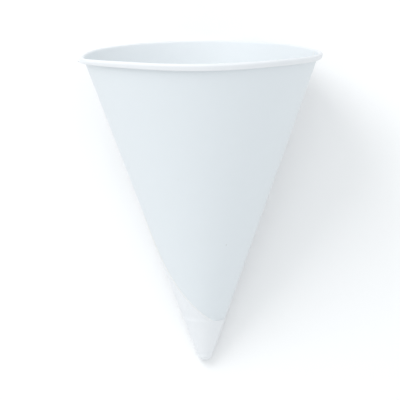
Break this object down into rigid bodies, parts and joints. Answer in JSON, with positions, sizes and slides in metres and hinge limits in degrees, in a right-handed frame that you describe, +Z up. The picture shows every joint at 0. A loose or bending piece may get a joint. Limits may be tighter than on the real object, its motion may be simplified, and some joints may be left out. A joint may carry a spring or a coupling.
{
  "type": "cone_paper_cup",
  "caption": "White cone paper cup, about 4 fl oz, with a rolled rim, a glued lap that winds round the cone and a pressed rounded tip, lying on its side.",
  "frame": {"origin": "Middle of the bounding box in X and Y, on the surface the cup lies on", "axes": "+Z is up as the cup lies on its side; the tip points to -Y and the mouth opens to +Y and a little up; +X is to the right as the picture shows the cup"},
  "size_m": [0.0724, 0.0984, 0.0672],
  "materials": {
    "paper": "white cup paper, thinly waxed, soft sheen"
  },
  "bodies": {
    "root": {"paper_cone": "paper"}
  },
  "joints": []
}
